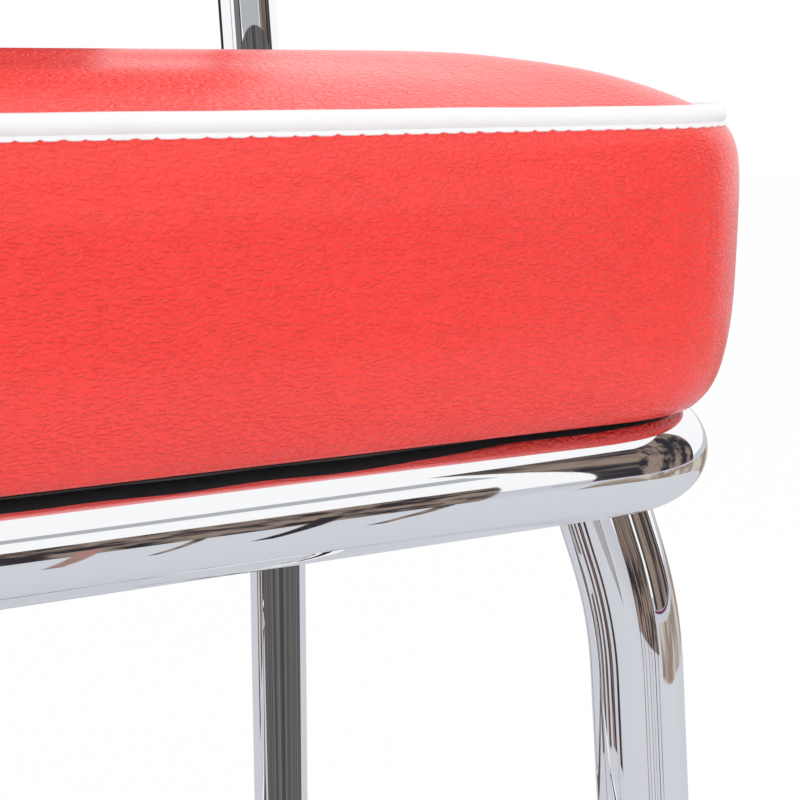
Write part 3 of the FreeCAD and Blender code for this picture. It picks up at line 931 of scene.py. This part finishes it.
class STOOL_OT_hardware(bpy.types.Operator):
    """Give the boards, rails, plugs, glides and fasteners their finishes"""

    bl_idname = "stool.hardware"
    bl_label = "Boards and hardware"

    def execute(self, context):
        zinc = plated_finish("zinc_plate", (0.62, 0.63, 0.65), 0.26)
        nickel = plated_finish("nickel_plate", (0.70, 0.67, 0.62), 0.16)
        black = plastic_finish("black_plastic", tuple(colours().plastic), 0.42)
        nylon = plastic_finish("grey_nylon", (0.36, 0.36, 0.35), 0.48)
        paint = painted_finish()
        ply = plywood_finish()
        vinyl = red_vinyl("red_vinyl_panel", 9.0)
        finishes = {"seat_board": ply, "back_board": ply, "back_rear_panel": vinyl,
                    "seat_staples": zinc, "front_cross_rail": paint,
                    "rear_cross_rail": paint, "upright_plug_left": black, "upright_plug_right": black}
        for group in ("seat", "back"):
            for kind in ("bolts", "washers", "tee_nuts"):
                finishes[group + "_" + kind] = zinc
        for place in PLACES:
            finishes["leg_plug_" + place] = black
            finishes["glide_stem_" + place] = zinc
            finishes["glide_base_" + place] = nickel
            finishes["glide_sole_" + place] = nylon
        for node, material in finishes.items():
            dress(cad_nodes[node], material)
        return {"FINISHED"}


class STOOL_OT_studio(bpy.types.Operator):
    """Set the camera, floor, backdrop, lamps and the cards that the chrome mirrors"""

    bl_idname = "stool.studio"
    bl_label = "Studio"

    def execute(self, context):
        self.camera()
        self.floor()
        self.world()
        self.lamps()
        self.cards()
        context.scene.view_settings.view_transform = "Standard"
        return {"FINISHED"}

    def camera(self):
        azimuth, down = math.radians(25.88), math.radians(12.28)
        data = bpy.data.cameras.new("camera")
        data.lens = 67.5
        data.sensor_width = 36.0
        data.clip_start, data.clip_end = 0.01, 50.0
        camera = bpy.data.objects.new("camera", data)
        bpy.context.scene.collection.objects.link(camera)
        camera.location = (-0.0815, -0.5467, 0.6396)
        ahead = Vector((math.sin(azimuth) * math.cos(down), math.cos(azimuth) * math.cos(down),
                        -math.sin(down)))
        camera.rotation_mode = "QUATERNION"
        camera.rotation_quaternion = ahead.to_track_quat("-Z", "Y")
        bpy.context.scene.camera = camera

    def floor(self):
        base = tuple(colours().floor)
        floor = open_primitive(bpy.ops.mesh.primitive_plane_add, "floor", size=14.0, location=(0, 0, 0))
        leave()
        made = Finish("pale_floor", Roughness=0.8, Specular_IOR_Level=0.2)
        grain = made.noise(made.place, 8.0, 2.0)
        made.set(Base_Color=made.mix(grain, base, shaded(base, 0.985)))
        path = made.tree.nodes.new("ShaderNodeLightPath")
        seen = Wire(made, path.outputs["Is Camera Ray"])
        mirrored = Wire(made, path.outputs["Is Glossy Ray"])
        through = Wire(made, path.outputs["Is Transmission Ray"])
        glow = made.node("ShaderNodeEmission", None, {"Color": (1.0, 1.0, 1.0, 1.0), "Strength": 1.0})
        dim = made.node("ShaderNodeEmission", None, {"Color": (0.56, 0.575, 0.625, 1.0), "Strength": 1.0})
        plain = Wire(made, made.surface.outputs[0])
        own = made.node("ShaderNodeMixShader", None, {0: seen * 0.97 + through * 0.97, 1: plain, 2: glow})
        whole = made.node("ShaderNodeMixShader", None, {0: mirrored * 0.8, 1: own, 2: dim})
        end = made.tree.nodes["Material Output"]
        made.feed(end.inputs["Surface"], whole)
        dress(floor, made.material)

    def world(self):
        world = bpy.data.worlds.new("studio")
        bpy.context.scene.world = world
        world.use_nodes = True
        tree = world.node_tree
        background = tree.nodes["Background"]
        background.inputs["Color"].default_value = (1.0, 1.0, 1.0, 1.0)
        path = tree.nodes.new("ShaderNodeLightPath")
        either = tree.nodes.new("ShaderNodeMath")
        either.operation = "ADD"
        tree.links.new(path.outputs["Is Camera Ray"], either.inputs[0])
        tree.links.new(path.outputs["Is Glossy Ray"], either.inputs[1])
        any_sharp = tree.nodes.new("ShaderNodeMath")
        any_sharp.operation = "ADD"
        tree.links.new(either.outputs[0], any_sharp.inputs[0])
        tree.links.new(path.outputs["Is Transmission Ray"], any_sharp.inputs[1])
        level = tree.nodes.new("ShaderNodeMapRange")
        level.inputs["To Min"].default_value = 0.74
        level.inputs["To Max"].default_value = 1.0
        tree.links.new(any_sharp.outputs[0], level.inputs["Value"])
        tree.links.new(level.outputs[0], background.inputs["Strength"])

    def lamps(self):
        for name, place, aim, size, power in (
            ("key", (-0.9, -1.9, 1.9), (0.0, -0.1, 0.55), 1.3, 20.0),
            ("fill", (1.8, -1.2, 1.2), (0.1, 0.0, 0.5), 1.4, 11.0),
            ("top", (0.1, 0.5, 2.4), (0.0, 0.0, 0.6), 1.6, 9.0),
        ):
            data = bpy.data.lights.new(name, "AREA")
            data.shape = "SQUARE"
            data.size = size
            data.energy = power
            lamp = bpy.data.objects.new(name, data)
            bpy.context.scene.collection.objects.link(lamp)
            lamp.location = place
            aimed = Vector(aim) - Vector(place)
            lamp.rotation_mode = "QUATERNION"
            lamp.rotation_quaternion = aimed.to_track_quat("-Z", "Y")
            lamp.visible_camera = False
            lamp.visible_glossy = False

    def card(self, name, azimuths, heights, distance, tone, dark, scale):
        """Curved card round the stool, seen only in the chrome. Azimuth 0 is in front, 90 on the right."""
        low, high = (math.radians(v) for v in azimuths)
        steps = max(2, int(abs(high - low) / math.radians(4)))
        piece = open_primitive(bpy.ops.mesh.primitive_grid_add, name, size=2.0, x_subdivisions=steps,
                               y_subdivisions=1)
        mesh = bmesh.from_edit_mesh(piece.data)
        for vert in mesh.verts:
            turn = low + (high - low) * (vert.co.x + 1) / 2
            z = heights[0] + (heights[1] - heights[0]) * (vert.co.y + 1) / 2
            vert.co = (0.1 + distance * math.sin(turn), -0.2 - distance * math.cos(turn), z)
        bmesh.update_edit_mesh(piece.data)
        leave()
        made = Finish(name + "_card", Roughness=1.0, Specular_IOR_Level=0.0)
        patches = made.noise(made.stretch(scale, scale, scale * 0.5), 3.0, 3.0, 0.6).step(0.40, 0.60)
        made.set(Base_Color=(0, 0, 0, 1), Emission_Color=made.mix(patches, tone, dark), Emission_Strength=1.0)
        dress(piece, made.material)
        self.glossy_only(piece)

    def leg_flag(self, side):
        """Card in front of a rear leg, clear from the front, which darkens the leg as the room does."""
        piece = open_primitive(bpy.ops.mesh.primitive_grid_add, "leg_flag", size=1.0, x_subdivisions=2,
                               y_subdivisions=2, location=(side * 0.16, 0.07, 0.19),
                               rotation=(math.pi / 2, 0, 0), scale=(0.36, 0.38, 1.0))
        leave()
        made = Finish("leg_flag_card", Roughness=1.0, Specular_IOR_Level=0.0)
        bands = made.noise(made.stretch(60.0, 1.0, 0.4), 2.0, 2.0).step(0.35, 0.65)
        behind = made.node("ShaderNodeNewGeometry", output="Backfacing")
        made.set(Base_Color=(0, 0, 0, 1), Emission_Strength=1.0, Alpha=behind,
                 Emission_Color=made.mix(bands, (0.07, 0.065, 0.065), (0.17, 0.165, 0.165)))
        dress(piece, made.material)
        self.glossy_only(piece)

    def glossy_only(self, piece):
        piece.visible_camera = False
        piece.visible_diffuse = False
        piece.visible_shadow = False
        piece.visible_transmission = False

    def cards(self):
        """Cards as (name, azimuths, heights, distance, tone, darker tone, patch scale)."""
        brown, dark = (0.30, 0.23, 0.19), (0.035, 0.03, 0.035)
        black, beige = (0.035, 0.033, 0.040), (0.62, 0.56, 0.50)
        grey, dim = (0.46, 0.47, 0.50), (0.20, 0.19, 0.20)
        plum, rose = (0.16, 0.03, 0.10), (0.42, 0.22, 0.20)
        for side in (-1, 1):
            self.leg_flag(side)
        for settings in (
            ("stand", (-12, 30), (0.16, 0.68), 1.30, brown, dark, 5.0),
            ("overhead_edge", (-60, 33), (1.06, 1.24), 1.20, grey, grey, 1.0),
            ("flag", (35, 92), (0.36, 1.60), 1.30, black, brown, 1.4),
            ("flag_edge", (33, 92), (0.345, 0.358), 1.29, plum, plum, 1.0),
            ("low_wall", (36, 140), (0.06, 0.30), 1.34, beige, brown, 1.5),
            ("left_wall", (-150, -40), (0.05, 0.34), 1.40, grey, brown, 1.5),
            ("left_flag", (-92, -62), (0.50, 1.60), 1.35, dim, black, 1.0),
            ("high_left", (-38, 4), (0.86, 1.55), 1.45, dim, brown, 2.0),
            ("rear_flag", (168, 200), (0.30, 1.30), 1.50, black, dark, 1.0),
            ("post_a", (-10, -8.6), (0.0, 0.44), 0.74, brown, dark, 6.0),
            ("post_b", (-3, -2.2), (0.0, 0.40), 0.76, dark, dark, 6.0),
            ("post_c", (5, 6.4), (0.0, 0.42), 0.78, rose, brown, 6.0),
            ("post_d", (12, 12.8), (0.0, 0.40), 0.75, brown, dark, 6.0),
            ("post_e", (19, 20.6), (0.0, 0.44), 0.76, dark, dark, 6.0),
            ("post_f", (27, 28.4), (0.0, 0.42), 0.78, dark, brown, 6.0),
            ("post_g", (-84, -77), (0.0, 0.30), 0.75, dark, brown, 6.0),
            ("post_h", (-103, -91), (0.0, 0.32), 0.76, rose, dark, 6.0),
            ("post_i", (-118, -110), (0.0, 0.30), 0.75, brown, dark, 6.0),
            ("post_j", (-133, -124), (0.0, 0.31), 0.77, dark, brown, 6.0),
            ("post_k", (-146, -140), (0.0, 0.30), 0.75, rose, dark, 6.0),
        ):
            self.card(*settings)


class STOOL_PT_panel(bpy.types.Panel):
    """Sidebar panel with the stool's pieces, sizes and colours"""

    bl_idname = "STOOL_PT_panel"
    bl_label = "Counter stool"
    bl_space_type = "VIEW_3D"
    bl_region_type = "UI"
    bl_category = "Stool"

    def draw(self, context):
        layout = self.layout
        for operator in OPERATORS:
            layout.operator(operator.bl_idname)
        for group in (context.scene.stool_sizes, context.scene.stool_colours):
            box = layout.box()
            for name in group.bl_rna.properties.keys():
                if name not in ("rna_type", "name"):
                    box.prop(group, name)


OPERATORS = (STOOL_OT_tube_frame, STOOL_OT_seat_cushion, STOOL_OT_seat_piping, STOOL_OT_dust_sheet,
             STOOL_OT_back_pad, STOOL_OT_hardware, STOOL_OT_studio)
CLASSES = (StoolSizes, StoolColours, *OPERATORS, STOOL_PT_panel)


def register():
    for item in CLASSES:
        bpy.utils.register_class(item)
    bpy.types.Scene.stool_sizes = PointerProperty(type=StoolSizes)
    bpy.types.Scene.stool_colours = PointerProperty(type=StoolColours)


def unregister():
    del bpy.types.Scene.stool_colours
    del bpy.types.Scene.stool_sizes
    for item in reversed(CLASSES):
        bpy.utils.unregister_class(item)


def main():
    register()
    bpy.ops.stool.tube_frame()
    bpy.ops.stool.seat_cushion()
    bpy.ops.stool.seat_piping()
    bpy.ops.stool.dust_sheet()
    bpy.ops.stool.back_pad()
    bpy.ops.stool.hardware()
    bpy.ops.stool.studio()
    bpy.context.view_layer.update()


if __name__ == "__main__":
    main()
